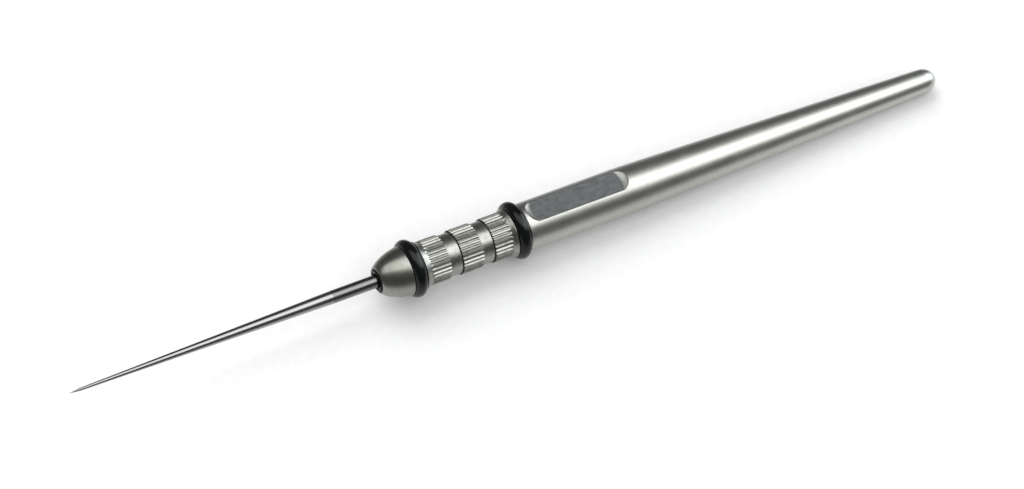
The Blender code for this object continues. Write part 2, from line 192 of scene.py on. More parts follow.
def spin(name, rows, steps, closed=True):
    """A solid from rows of (station, radius) round the tool's axis.

    A radius may be an array with one value for each step round. An open solid's first and last rows
    are single points on the axis.
    """
    angles = round_angles(steps)
    across, up = np.sin(angles), np.cos(angles)
    inner = rows if closed else rows[1:-1]
    stations = np.repeat([row[0] for row in inner], steps).reshape(len(inner), steps)
    radii = np.array([np.broadcast_to(row[1], steps) for row in inner])
    points = np.stack([TIP_X + stations, radii * across, AXIS_Z + radii * up], axis=-1)
    points = points.reshape(-1, 3).tolist()
    step = np.arange(steps)
    after = (step + 1) % steps
    faces = []
    pairs = [(i, i + 1) for i in range(len(inner) - 1)]
    if closed:
        pairs.append((len(inner) - 1, 0))
    for near, far in pairs:
        quads = [near * steps + step, far * steps + step, far * steps + after, near * steps + after]
        faces += np.stack(quads, axis=-1).tolist()
    if not closed:
        first, last = len(points), len(points) + 1
        points.append((TIP_X + rows[0][0], 0.0, AXIS_Z))
        points.append((TIP_X + rows[-1][0], 0.0, AXIS_Z))
        base = (len(inner) - 1) * steps
        faces += [(first, i, (i + 1) % steps) for i in range(steps)]
        faces += [(last, base + (i + 1) % steps, base + i) for i in range(steps)]
    mesh = bpy.data.meshes.new(name)
    mesh.from_pydata(points, [], faces)
    mesh.validate()
    obj = bpy.data.objects.new(name, mesh)
    bpy.context.scene.collection.objects.link(obj)
    return obj


def smooth(obj, angle=SHARP_ANGLE):
    obj.data.shade_smooth()
    obj.data.set_sharp_from_angle(angle=angle)


def rounded(outline, steps=4):
    """Rounds the corners of an outline of (station, radius, corner radius) points, in order."""
    points = []
    last = len(outline) - 1
    for i, (station, radius, corner) in enumerate(outline):
        if corner == 0.0 or i in (0, last):
            points.append((station, radius))
            continue
        here = Vector((station, radius))
        before = Vector(outline[i - 1][:2]) - here
        after = Vector(outline[i + 1][:2]) - here
        half_angle = before.angle(after) / 2
        reach = min(corner / math.tan(half_angle), 0.45 * before.length, 0.45 * after.length)
        start = here + before.normalized() * reach
        end = here + after.normalized() * reach
        for j in range(steps + 1):
            share = j / steps
            bend = start * (1 - share) ** 2 + here * 2 * share * (1 - share) + end * share**2
            points.append((bend.x, bend.y))
    return points


def spaced(first, last, spacing):
    count = max(1, round(abs(last - first) / spacing))
    return [first + (last - first) * i / count for i in range(count + 1)]


def thread_depth_position(station, rear, steps):
    """How far each point round is from the middle of the nearest turn of a right-hand thread."""
    turn = ((station - rear) / THREAD_PITCH + round_angles(steps) / (2 * math.pi)) % 1.0
    return np.minimum(turn, 1.0 - turn) * THREAD_PITCH


def screw_radii(station, rear, steps, depth_share):
    """An outside thread's radii, which a share of its depth makes shallower where it runs out."""
    off_crest = np.maximum(0.0, thread_depth_position(station, rear, steps) - THREAD_CREST_WIDTH / 2)
    radii = np.maximum(THREAD_ROOT_RADIUS, THREAD_CREST_RADIUS - off_crest / THREAD_FLANK)
    return THREAD_ROOT_RADIUS + (radii - THREAD_ROOT_RADIUS) * depth_share


def nut_radii(station, rear, steps, depth_share):
    """The inside thread that fits round such a screw."""
    half_width = THREAD_CREST_WIDTH / 2 + THREAD_GAP
    off_root = np.maximum(0.0, thread_depth_position(station, rear, steps) - half_width)
    radii = np.maximum(THREAD_BORE_RADIUS, THREAD_CREST_RADIUS + THREAD_GAP - off_root / THREAD_FLANK)
    return THREAD_BORE_RADIUS + (radii - THREAD_BORE_RADIUS) * depth_share


def fade(station, start, end, run):
    """1 between start and end, falling to 0 over a short run at each. An infinite end doesn't fall."""
    return max(0.0, min(1.0, (station - start) / run, (end - station) / run))


# ---------------------------------------------------------------------------------------------------
# Pieces
# ---------------------------------------------------------------------------------------------------
def make_needle():
    """A rounded tip, a steep point, a long taper, then a parallel shank with a chamfered end."""
    rows = [(0.0, 0.0)]
    for i in range(1, TIP_STEPS + 1):
        angle = math.radians(90.0 * i / TIP_STEPS)
        rows.append((POINT_TIP_RADIUS * (1 - math.cos(angle)), POINT_TIP_RADIUS * math.sin(angle)))
    for station in spaced(POINT_TIP_RADIUS * 2, POINT_LENGTH, POINT_SPACING):
        share = station / POINT_LENGTH
        rows.append((station, POINT_TIP_RADIUS + (POINT_RADIUS - POINT_TIP_RADIUS) * share))
    for station in spaced(POINT_LENGTH, TAPER_END, TAPER_SPACING)[1:]:
        share = (station - POINT_LENGTH) / (TAPER_END - POINT_LENGTH)
        rows.append((station, POINT_RADIUS + (NEEDLE_RADIUS - POINT_RADIUS) * share))
    shank = spaced(TAPER_END, NEEDLE_REAR - NEEDLE_TAIL_CHAMFER, SHANK_SPACING)[1:]
    rows += [(station, NEEDLE_RADIUS) for station in shank]
    rows.append((NEEDLE_REAR, NEEDLE_RADIUS - NEEDLE_TAIL_CHAMFER))
    rows.append((NEEDLE_REAR, 0.0))
    needle = spin("ground_needle", rows, NEEDLE_STEPS, closed=False)
    smooth(needle)
    return needle


def ring_section(low, high):
    """A ring's middle station, its section's radius, and the section's centre's distance from the axis."""
    section = (high.x - low.x) / 2
    return station_of((low.x + high.x) / 2), section, high.y - section


def make_ring(name, low, high, steps=RING_STEPS):
    """A rubber ring of round section that fills its box."""
    middle, section, centre = ring_section(low, high)
    rows = []
    for i in range(RING_SECTION_STEPS):
        angle = 2 * math.pi * i / RING_SECTION_STEPS
        rows.append((middle - section * math.cos(angle), centre + section * math.sin(angle)))
    ring = spin(name, rows, steps)
    smooth(ring, RING_SHARP_ANGLE)
    return ring


def ogive_radius(station):
    across = (OGIVE_STATION - station) / OGIVE_HALF_LENGTH
    return OGIVE_OFFSET + OGIVE_HALF_HEIGHT * math.sqrt(1.0 - across * across)


def make_nose():
    """The nose cap: an ogive outside; a thread, a cone and the small ring's seat inside."""
    outside = spaced(NOSE_FRONT + NOSE_LIP, NOSE_REAR - NOSE_EDGE, OGIVE_SPACING)
    rows = [(NOSE_FRONT, ogive_radius(NOSE_FRONT) - NOSE_LIP / 2)]
    rows += [(station, ogive_radius(station)) for station in outside]
    corner = ogive_radius(NOSE_REAR - NOSE_EDGE)
    rows += rounded(
        [
            (NOSE_REAR - NOSE_EDGE, corner, 0.0),
            (NOSE_REAR, corner, NOSE_EDGE),
            (NOSE_REAR, THREAD_CREST_RADIUS + NOSE_MOUTH_STEP, 0.0),
        ]
    )[1:]
    cone_rear = NOSE_CONE_FRONT + (THREAD_BORE_RADIUS - NOSE_HOLE_RADIUS) / CONE_SLOPE
    for station in spaced(NOSE_REAR - NOSE_MOUTH_DEPTH, cone_rear, NOSE_THREAD_SPACING):
        depth = fade(station, cone_rear, math.inf, NOSE_RUN_OUT)
        rows.append((station, nut_radii(station, FRONT_THREAD_REAR, TURNED_STEPS, depth)))
    middle, section, centre = ring_section(needle_ring_low, needle_ring_high)
    seat = section + RING_SEAT_GAP
    rows += [(NOSE_CONE_FRONT, NOSE_HOLE_RADIUS), (middle + seat, NOSE_HOLE_RADIUS)]
    end = math.acos((NOSE_FRONT - middle) / seat)
    for i in range(SEAT_STEPS + 1):
        angle = end * i / SEAT_STEPS
        rows.append((middle + seat * math.cos(angle), centre + seat * math.sin(angle)))
    nose = spin("turned_nose", rows, TURNED_STEPS)
    smooth(nose)
    return nose


def knurl_radii():
    """The knurl's section: ridges with flat tops and round-bottomed valleys."""
    share = (np.arange(KNURL_STEPS) / KNURL_STEPS * KNURL_TEETH + 0.5) % 1.0 - 0.5
    run = KNURL_ROOT_EDGE - KNURL_CREST_EDGE
    flank = np.clip((KNURL_ROOT_EDGE - np.abs(share)) / run, 0.0, 1.0)
    height = 0.5 * flank + 0.5 * flank * flank * (3 - 2 * flank)
    return KNURL_RADIUS - (KNURL_RADIUS - KNURL_ROOT_RADIUS) * (1 - height)


def band_rows(front, rear, cone_front, cone_rear):
    """A knurled band. It ends in a small edge, except where a cone adjoins it."""
    knurl = knurl_radii()
    shoulder = np.maximum(knurl - KNURL_EDGE, GROOVE_RADIUS + GROOVE_STEP)
    rows = []
    if not cone_front:
        rows += [(front, GROOVE_RADIUS), (front, shoulder), (front + KNURL_EDGE, knurl)]
    inner_front = front + (0 if cone_front else KNURL_EDGE)
    inner_rear = rear - (0 if cone_rear else KNURL_EDGE)
    rows += [(station, knurl) for station in spaced(inner_front, inner_rear, KNURL_SPACING)[1:-1]]
    if not cone_rear:
        rows += [(rear - KNURL_EDGE, knurl), (rear, shoulder), (rear, GROOVE_RADIUS)]
    return rows


def cone_rows(from_station, to_station):
    """The cone from a rim down to the knurl, whose valleys it fills until it falls to their depth."""
    wide = RIM_RADIUS - RIM_STEP
    rows = []
    for i in range(CONE_STEPS + 1):
        share = i / CONE_STEPS
        station = from_station + (to_station - from_station) * share
        cone = wide + (GROOVE_RADIUS - wide) * share
        rows.append((station, np.maximum(cone, knurl_radii()) if cone < KNURL_RADIUS else cone))
    return rows


def make_grip():
    """The grip: threaded spigots, necks for the two rings, and three knurled bands between two rims."""
    front_band, middle_band, rear_band = KNURL_BANDS
    thread_front = SPIGOT_FRONT + SPIGOT_CHAMFER
    thread_rear = NECK_FRONT - THREAD_STOP_GAP
    rows = [(SPIGOT_FRONT, COLLET_SEAT_RADIUS), (SPIGOT_FRONT, THREAD_ROOT_RADIUS - SPIGOT_CHAMFER)]
    for station in spaced(thread_front, thread_rear, FRONT_THREAD_SPACING):
        depth = fade(station, thread_front, thread_rear, SPIGOT_RUN_OUT)
        rows.append((station, screw_radii(station, FRONT_THREAD_REAR, KNURL_STEPS, depth)))
    rows += rounded(
        [
            (NECK_FRONT, NECK_RADIUS, 0.0),
            (GRIP_FRONT, NECK_RADIUS, NECK_CORNER),
            (GRIP_FRONT, RIM_RADIUS, RIM_CORNER),
            (front_band[0], KNURL_RADIUS, 0.0),
        ]
    )[:-1]
    cone_end = front_band[0] + FRONT_CONE_RUN
    rows += cone_rows(GRIP_FRONT + RIM_EDGE, cone_end)
    rows += band_rows(cone_end, front_band[1], True, False)
    rows += band_rows(*middle_band, False, False)
    cone_end = rear_band[1] - REAR_CONE_RUN
    rows += band_rows(rear_band[0], cone_end, False, True)
    rows += cone_rows(GRIP_REAR - RIM_EDGE, cone_end)[::-1]
    rows += rounded(
        [
            (rear_band[1], KNURL_RADIUS, 0.0),
            (GRIP_REAR, RIM_RADIUS, RIM_CORNER),
            (GRIP_REAR, NECK_RADIUS, NECK_CORNER),
            (NECK_REAR, NECK_RADIUS, 0.0),
        ]
    )[1:]
    thread_end = SPIGOT_REAR - SPIGOT_CHAMFER
    for station in spaced(NECK_REAR + THREAD_STOP_GAP, thread_end, REAR_THREAD_SPACING):
        depth = fade(station, NECK_REAR, thread_end, SPIGOT_RUN_OUT)
        rows.append((station, screw_radii(station, REAR_THREAD_REAR, KNURL_STEPS, depth)))
    seat_rear = SPIGOT_FRONT + (COLLET_SEAT_RADIUS - COLLET_BORE_RADIUS) / CONE_SLOPE
    rows += [
        (SPIGOT_REAR, THREAD_ROOT_RADIUS - SPIGOT_CHAMFER),
        (SPIGOT_REAR, NEEDLE_BORE_RADIUS),
        (COLLET_BORE_REAR, NEEDLE_BORE_RADIUS),
        (COLLET_BORE_REAR, COLLET_BORE_RADIUS),
        (seat_rear, COLLET_BORE_RADIUS),
    ]
    grip = spin("turned_knurled_grip", rows, KNURL_STEPS)
    smooth(grip)
    return grip


def handle_outer_radius(station):
    """Parallel, then a straight taper to the round tail, with a parabola to blend one into the other."""
    slope = (HANDLE_RADIUS - TAIL_RADIUS) / (LENGTH - TAIL_LENGTH - HANDLE_TAPER_START)
    past = station - HANDLE_TAPER_START
    if past <= -HANDLE_BLEND:
        return HANDLE_RADIUS
    if past >= HANDLE_BLEND:
        return HANDLE_RADIUS - slope * past
    return HANDLE_RADIUS - slope * (past + HANDLE_BLEND) ** 2 / (4 * HANDLE_BLEND)


def make_handle():
    """The handle: a threaded and bored front, a long taper, a round tail, and the flat milled on top."""
    rows = [
        (HANDLE_BORE_REAR + DRILL_POINT, 0.0),
        (HANDLE_BORE_REAR, HANDLE_BORE_RADIUS),
        (HANDLE_THREAD_REAR, HANDLE_BORE_RADIUS),
        (HANDLE_THREAD_REAR, THREAD_BORE_RADIUS),
    ]
    thread = spaced(HANDLE_THREAD_REAR - HANDLE_THREAD_SPACING, HANDLE_MOUTH_REAR, HANDLE_THREAD_SPACING)
    for station in thread:
        depth = fade(station, -math.inf, HANDLE_THREAD_REAR, HANDLE_RUN_OUT)
        rows.append((station, nut_radii(station, REAR_THREAD_REAR, TURNED_STEPS, depth)))
    rows.append((HANDLE_MOUTH_REAR - HANDLE_MOUTH_STEP, HANDLE_MOUTH_RADIUS))
    rows += rounded(
        [
            (HANDLE_FRONT + HANDLE_EDGE, HANDLE_MOUTH_RADIUS, 0.0),
            (HANDLE_FRONT, HANDLE_MOUTH_RADIUS, HANDLE_EDGE / 2),
            (HANDLE_FRONT, HANDLE_RADIUS, HANDLE_EDGE),
            (HANDLE_FRONT + 3 * HANDLE_EDGE, HANDLE_RADIUS, 0.0),
        ]
    )
    tail_front = LENGTH - TAIL_LENGTH
    for station in spaced(HANDLE_FRONT + MM, tail_front, HANDLE_SPACING):
        rows.append((station, handle_outer_radius(station)))
    for i in range(1, TAIL_STEPS):
        angle = math.radians(90.0 * i / TAIL_STEPS)
        rows.append((tail_front + TAIL_LENGTH * math.sin(angle), TAIL_RADIUS * math.cos(angle)))
    rows.append((LENGTH, 0.0))
    handle = spin("turned_handle", rows, TURNED_STEPS, closed=False)
    cut = handle.modifiers.new("flat", "BOOLEAN")
    cut.object = make_flat_cutter()
    cut.solver = "EXACT"
    bpy.context.view_layer.update()
    graph = bpy.context.evaluated_depsgraph_get()
    mesh = bpy.data.meshes.new_from_object(handle.evaluated_get(graph))
    bpy.data.objects.remove(cut.object, do_unlink=True)
    handle.modifiers.clear()
    handle.data = mesh
    smooth(handle, HANDLE_SHARP_ANGLE)
    return handle


def make_flat_cutter():
    """The path of a small milling cutter, whose axis lies across the handle, with slightly bowed ends."""
    height = AXIS_Z + FLAT_HEIGHT + FLAT_CUTTER_RADIUS
    reach = 1.5 * FLAT_HALF_WIDTH
    work = bmesh.new()
    slices = []
    for y in spaced(-reach, reach, CUTTER_SPACING):
        bow = FLAT_END_BOW * (y / FLAT_HALF_WIDTH) ** 2
        ring = []
        for middle, start in ((FLAT_REAR - bow, -90.0), (FLAT_FRONT + bow, 90.0)):
            for i in range(CUTTER_END_STEPS + 1):
                angle = math.radians(start + 180.0 * i / CUTTER_END_STEPS)
                x = TIP_X + middle + FLAT_CUTTER_RADIUS * math.cos(angle)
                ring.append(work.verts.new((x, y, height + FLAT_CUTTER_RADIUS * math.sin(angle))))
        slices.append(ring)
    work.faces.new(slices[0])
    work.faces.new(slices[-1][::-1])
    for near, far in zip(slices, slices[1:]):
        for i in range(len(near)):
            j = (i + 1) % len(near)
            work.faces.new((near[j], near[i], far[i], far[j]))
    bmesh.ops.recalc_face_normals(work, faces=work.faces)
    mesh = bpy.data.meshes.new("flat_cutter")
    work.to_mesh(mesh)
    work.free()
    cutter = bpy.data.objects.new("flat_cutter", mesh)
    bpy.context.scene.collection.objects.link(cutter)
    return cutter


# ---------------------------------------------------------------------------------------------------
# Materials
# ---------------------------------------------------------------------------------------------------
# The grip's and the nose's steel are painted darker than the handle's: painted shade for light that falls off
# towards the tip
STEEL = (0.475, 0.48, 0.445, 1.0)
STEEL_DARK = (0.425, 0.43, 0.395, 1.0)
GRIP_STEEL = (0.365, 0.37, 0.338, 1.0)
GRIP_STEEL_DARK = (0.31, 0.315, 0.285, 1.0)
NOSE_STEEL = (0.315, 0.32, 0.285, 1.0)
NOSE_STEEL_DARK = (0.265, 0.27, 0.238, 1.0)
# Painted shade, mottled like a milled face, on the handle's flat and on the hollows at its ends
SHADED_FLAT_GREY = (0.215, 0.222, 0.222, 1.0)
SHADED_FLAT_DARK = (0.125, 0.132, 0.132, 1.0)
FLAT_ROUGHNESS = (0.38, 0.50)
FLAT_TOLERANCE = 0.004 * MM
SHADED_HOLLOW_GREY = (0.38, 0.38, 0.35, 1.0)
SHADED_HOLLOW_DARK = (0.29, 0.29, 0.265, 1.0)
HOLLOW_REACH = 1.1 * MM
HOLLOW_DEPTH = 0.03 * MM
POLISHED = (0.31, 0.315, 0.31, 1.0)
POLISHED_DARK = (0.265, 0.27, 0.265, 1.0)
DRAWN_WIRE = (0.20, 0.205, 0.20, 1.0)
DRAWN_WIRE_DARK = (0.14, 0.144, 0.14, 1.0)
DRAWN_WIRE_ROUGHNESS = (0.208, 0.312)
COLLET_GREY = (0.34, 0.34, 0.34, 1.0)
COLLET_DARK = (0.26, 0.26, 0.26, 1.0)
RUBBER = (0.005, 0.0056, 0.006, 1.0)
RUBBER_DARK = (0.0025, 0.003, 0.0032, 1.0)
RUBBER_ROUGHNESS = (0.11, 0.19)
RUBBER_GRAIN_DEPTH = 2e-6
# Painted shade in the corners in front of the middle and rear knurled bands' steps
STEP_SHADE = (0.04, 0.036, 0.028, 1.0)
STEP_SHADE_ROUGHNESS = (0.7, 0.7, 0.7, 1.0)
STEP_SHADE_SHIFT = 0.05 * MM
STEP_SHADE_WIDTH = 0.11 * MM
STEP_SHADE_UNEVENNESS = 0.03 * MM
SPOT_BROWN = (0.10, 0.095, 0.078, 1.0)
SPOT_EDGE = (0.50, 0.68)
MARK_ROUGHNESS_SPREAD = 0.18
CLOUD_ROUGHNESS_SPREAD = 0.02

# Noise scales, in cells per metre
TURNING_SCALE = 9000.0
GRINDING_SCALE = 14000.0
DRAWING_SCALE = 6000.0
CLOUD_SCALE = 220.0
SPOT_SCALE = 1400.0
MOTTLE_SCALE = 1500.0
# The uneven edge of the painted shade in front of the knurled bands' steps
STEP_SHADE_SCALE = 2500.0
RUBBER_CLOUD_SCALE = 500.0
RUBBER_GRAIN_SCALE = 9000.0
PAPER_SCALE = 900.0


class Nodes:
    """A material's node tree, with short calls to add and join nodes."""

    def __init__(self, name):
        self.material = bpy.data.materials.new(name)
        self.material.use_nodes = True
        self.tree = self.material.node_tree
        self.shader = self.tree.nodes["Principled BSDF"]
        self.place = self.add("ShaderNodeTexCoord").outputs["Object"]

    def add(self, kind, **settings):
        node = self.tree.nodes.new(kind)
        for key, value in settings.items():
            setattr(node, key, value)
        return node

    def join(self, source, target):
        self.tree.links.new(source, target)

    def axes(self):
        """The X, Y and Z of each place on the object."""
        split = self.add("ShaderNodeSeparateXYZ")
        self.join(self.place, split.inputs["Vector"])
        return split.outputs

    def noise(self, scale, detail=3.0, roughness=0.55, stretch=(1.0, 1.0, 1.0)):
        """Noise whose cells are 1/scale metres across, made narrower along an axis by its stretch."""
        mapping = self.add("ShaderNodeMapping")
        mapping.inputs["Scale"].default_value = tuple(scale * s for s in stretch)
        self.join(self.place, mapping.inputs["Vector"])
        noise = self.add("ShaderNodeTexNoise")
        noise.inputs["Scale"].default_value = 1.0
        noise.inputs["Detail"].default_value = detail
        noise.inputs["Roughness"].default_value = roughness
        self.join(mapping.outputs["Vector"], noise.inputs["Vector"])
        return noise.outputs["Fac"]

    def ranged(self, value, low, high, from_low=0.25, from_high=0.75):
        node = self.add("ShaderNodeMapRange")
        node.inputs["From Min"].default_value = from_low
        node.inputs["From Max"].default_value = from_high
        node.inputs["To Min"].default_value = low
        node.inputs["To Max"].default_value = high
        self.join(value, node.inputs["Value"])
        return node.outputs["Result"]

    def math(self, operation, first, second=0.0):
        node = self.add("ShaderNodeMath", operation=operation)
        for socket, value in zip(node.inputs, (first, second)):
            if isinstance(value, (int, float)):
                socket.default_value = value
            else:
                self.join(value, socket)
        return node.outputs[0]

    def mix_colour(self, share, first, second):
        node = self.add("ShaderNodeMix", data_type="RGBA")
        self.join(share, node.inputs["Factor"])
        for socket, value in ((node.inputs[6], first), (node.inputs[7], second)):
            if isinstance(value, tuple):
                socket.default_value = value
            else:
                self.join(value, socket)
        return node.outputs[2]

    def cover(self, share, name, value):
        """Mixes a value over what one of the shader's inputs already has."""
        socket = self.shader.inputs[name]
        self.join(self.mix_colour(share, socket.links[0].from_socket, value), socket)

    def bump(self, height, distance):
        node = self.add("ShaderNodeBump")
        node.inputs["Distance"].default_value = distance
        self.join(height, node.inputs["Height"])
        self.join(node.outputs["Normal"], self.shader.inputs["Normal"])


def flat_masks(nodes):
    """Two masks: 1 on the handle's milled flat, and 1 on the flat and the hollows at its ends."""
    x, y, z = nodes.axes()
    above = nodes.math("SUBTRACT", z, AXIS_Z)
    height = nodes.math("ABSOLUTE", nodes.math("SUBTRACT", above, FLAT_HEIGHT))
    level = nodes.math("LESS_THAN", height, FLAT_TOLERANCE)
    along = nodes.math("ABSOLUTE", nodes.math("SUBTRACT", x, TIP_X + (FLAT_FRONT + FLAT_REAR) / 2))
    within = nodes.math("LESS_THAN", along, (FLAT_REAR - FLAT_FRONT) / 2 + HOLLOW_REACH)
    squares = nodes.math("ADD", nodes.math("MULTIPLY", y, y), nodes.math("MULTIPLY", above, above))
    sunk = nodes.math("LESS_THAN", nodes.math("SQRT", squares), HANDLE_RADIUS - HOLLOW_DEPTH)
    return nodes.math("MULTIPLY", level, within), nodes.math("MULTIPLY", sunk, within)


def grind_and_shade_flat(nodes):
    """Gives the handle's flat the duller, mottled face that a milling cutter and a polishing wheel leave, and
    paints shade on the flat and on the hollows at its ends, darker than the rest of the handle.
    """
    on_flat, on_milled = flat_masks(nodes)
    mottle = nodes.noise(MOTTLE_SCALE, detail=5.0, roughness=0.65, stretch=(0.5, 1.0, 1.0))
    share = nodes.ranged(mottle, 0.0, 1.0)
    nodes.cover(on_milled, "Base Color", nodes.mix_colour(share, SHADED_HOLLOW_DARK, SHADED_HOLLOW_GREY))
    nodes.cover(on_flat, "Base Color", nodes.mix_colour(share, SHADED_FLAT_DARK, SHADED_FLAT_GREY))
    nodes.cover(on_flat, "Roughness", nodes.ranged(mottle, *FLAT_ROUGHNESS))


def dull_shank(nodes):
    """Leaves the needle's parallel shank as drawn wire, duller than its ground and polished taper."""
    on_shank = nodes.math("GREATER_THAN", nodes.axes()["X"], TIP_X + TAPER_END)
    streaks = nodes.noise(DRAWING_SCALE, detail=4.0, roughness=0.7, stretch=(0.04, 1.0, 1.0))
    tint = nodes.mix_colour(nodes.ranged(streaks, 0.0, 1.0), DRAWN_WIRE_DARK, DRAWN_WIRE)
    nodes.cover(on_shank, "Base Color", tint)
    nodes.cover(on_shank, "Roughness", nodes.ranged(streaks, *DRAWN_WIRE_ROUGHNESS))


def add_step_shade(nodes, stations):
    """Paints shade into the corners in front of some steps, at the stations given, along a slightly uneven
    edge.
    """
    noise = nodes.noise(STEP_SHADE_SCALE, detail=2.0)
    uneven = nodes.ranged(noise, -STEP_SHADE_UNEVENNESS, STEP_SHADE_UNEVENNESS)
    along = nodes.math("ADD", nodes.axes()["X"], uneven)
    for station in stations:
        away = nodes.math("ABSOLUTE", nodes.math("SUBTRACT", along, TIP_X + station - STEP_SHADE_SHIFT))
        share = nodes.ranged(away, 1.0, 0.0, STEP_SHADE_WIDTH * 0.6, STEP_SHADE_WIDTH)
        nodes.cover(share, "Base Color", STEP_SHADE)
        nodes.cover(share, "Roughness", STEP_SHADE_ROUGHNESS)


def steel(name, colour, dark, roughness, mark_depth, mark_scale=TURNING_SCALE, soil=0.0):
    """Turned stainless steel: fine rings round the axis, faint cloudiness and some dirt from handling.

    The depth of the marks is in metres. Soil is the share of brown where the dirt is darkest.
    """
    nodes = Nodes(name)
    nodes.shader.inputs["Metallic"].default_value = 1.0
    rings = nodes.noise(mark_scale, detail=4.0, roughness=0.7, stretch=(1.0, 0.02, 0.02))
    clouds = nodes.noise(CLOUD_SCALE, detail=4.0)
    spots = nodes.noise(SPOT_SCALE, detail=6.0, roughness=0.72)
    tint = nodes.mix_colour(nodes.ranged(clouds, 0.0, 1.0), dark, colour)
    tint = nodes.mix_colour(nodes.ranged(spots, 0.0, soil, *SPOT_EDGE), tint, SPOT_BROWN)
    nodes.join(tint, nodes.shader.inputs["Base Color"])
    spread = roughness * MARK_ROUGHNESS_SPREAD
    in_rings = nodes.ranged(rings, roughness - spread, roughness + spread)
    in_clouds = nodes.ranged(clouds, -CLOUD_ROUGHNESS_SPREAD, CLOUD_ROUGHNESS_SPREAD)
    nodes.join(nodes.math("ADD", in_rings, in_clouds), nodes.shader.inputs["Roughness"])
    nodes.bump(rings, mark_depth)
    return nodes


def rubber(name, shine):
    """Black rubber with a faint cloudiness and a fine grain."""
    nodes = Nodes(name)
    clouds = nodes.noise(RUBBER_CLOUD_SCALE, detail=5.0)
    tint = nodes.mix_colour(nodes.ranged(clouds, 0.0, 1.0), RUBBER_DARK, RUBBER)
    nodes.join(tint, nodes.shader.inputs["Base Color"])
    nodes.join(nodes.ranged(clouds, *RUBBER_ROUGHNESS), nodes.shader.inputs["Roughness"])
    nodes.bump(nodes.noise(RUBBER_GRAIN_SCALE, detail=2.0), RUBBER_GRAIN_DEPTH)
    nodes.shader.inputs["Specular IOR Level"].default_value = shine
    return nodes


def paint(obj, nodes):
    obj.data.materials.clear()
    obj.data.materials.append(nodes.material)


# ---------------------------------------------------------------------------------------------------
# The camera, the floor and the light
# ---------------------------------------------------------------------------------------------------
VIEW_AZIMUTH = math.radians(-37.65)
VIEW_ELEVATION = math.radians(54.45)
VIEW_ROLL = math.radians(11.97)
VIEW_DISTANCE = 0.675
VIEW_LENS = 166.8
VIEW_AIM = Vector((-0.00136, -0.00125, -0.00134))
NEAREST = 0.01

TABLE_HALF_SIZE = 1.5
TABLE_DROP = 0.02 * MM
PAPER = (0.84, 0.84, 0.84, 1.0)
PAPER_DARK = (0.80, 0.80, 0.80, 1.0)
# What shiny surfaces see of the table: painted light, brightest near the tool and darker away from it
MIRRORED_NEAR = (0.95, 0.95, 0.95, 1.0)
MIRRORED_FAR = (0.17, 0.17, 0.17, 1.0)
MIRRORED_RUN = (4 * MM, 30 * MM)

PANEL_PLACE = (0.09, -0.03, 1.0)
PANEL_YAW = math.radians(-32.0)
PANEL_HALF_WIDTH = 1.3
PANEL_HALF_DEPTH = 0.60
PANEL_STRENGTH = 3.1
PANEL_DIM = 0.60
PANEL_RAMP = (-0.5, 0.35)
PANEL_EDGE = (0.34, 0.58)

WORLD_COLOUR = (0.98, 0.99, 1.0, 1.0)
WORLD_TO_SHINY = 0.115
WORLD_TO_MATT = 0.60

# Each softbox's name, direction from the tool, size, power and colour, and the rays that miss it
SOFTBOX_DISTANCE = 1.0
WHITE = (1.0, 1.0, 1.0)
COOL_WHITE = (0.86, 0.93, 1.0)
SOFTBOXES = (
    ("end_softbox", (0.86, 0.02, 0.44), 0.75, 6.5, COOL_WHITE, "visible_diffuse"),
    ("key_softbox", (-0.16, 0.72, 0.86), 1.1, 8.2, WHITE, "visible_glossy"),
    ("fill_softbox", (0.0, -0.60, 0.80), 1.6, 6.5, WHITE, "visible_glossy"),
)


def add_camera():
    back = Vector(
        (
            math.sin(VIEW_AZIMUTH) * math.cos(VIEW_ELEVATION),
            -math.cos(VIEW_AZIMUTH) * math.cos(VIEW_ELEVATION),
            math.sin(VIEW_ELEVATION),
        )
    )
    right = Vector((math.cos(VIEW_AZIMUTH), math.sin(VIEW_AZIMUTH), 0.0))
    up = back.cross(right)
    rolled = right * math.cos(VIEW_ROLL) + up * math.sin(VIEW_ROLL)
    turn = Matrix((rolled, back.cross(rolled), back)).transposed()
    data = bpy.data.cameras.new("camera")
    data.lens = VIEW_LENS
    data.clip_start = NEAREST
    camera = bpy.data.objects.new("camera", data)
    bpy.context.scene.collection.objects.link(camera)
    middle = Vector((0.0, 0.0, AXIS_Z))
    camera.matrix_world = Matrix.Translation(middle + VIEW_AIM + back * VIEW_DISTANCE) @ turn.to_4x4()
    bpy.context.scene.camera = camera


def make_grid(name, segments, half_width, half_depth):
    work = bmesh.new()
    bmesh.ops.create_grid(work, x_segments=segments, y_segments=segments, size=1.0)
    for vert in work.verts:
        vert.co.x *= half_width
        vert.co.y *= half_depth
    mesh = bpy.data.meshes.new(name)
    work.to_mesh(mesh)
    work.free()
    grid = bpy.data.objects.new(name, mesh)
    bpy.context.scene.collection.objects.link(grid)
    return grid


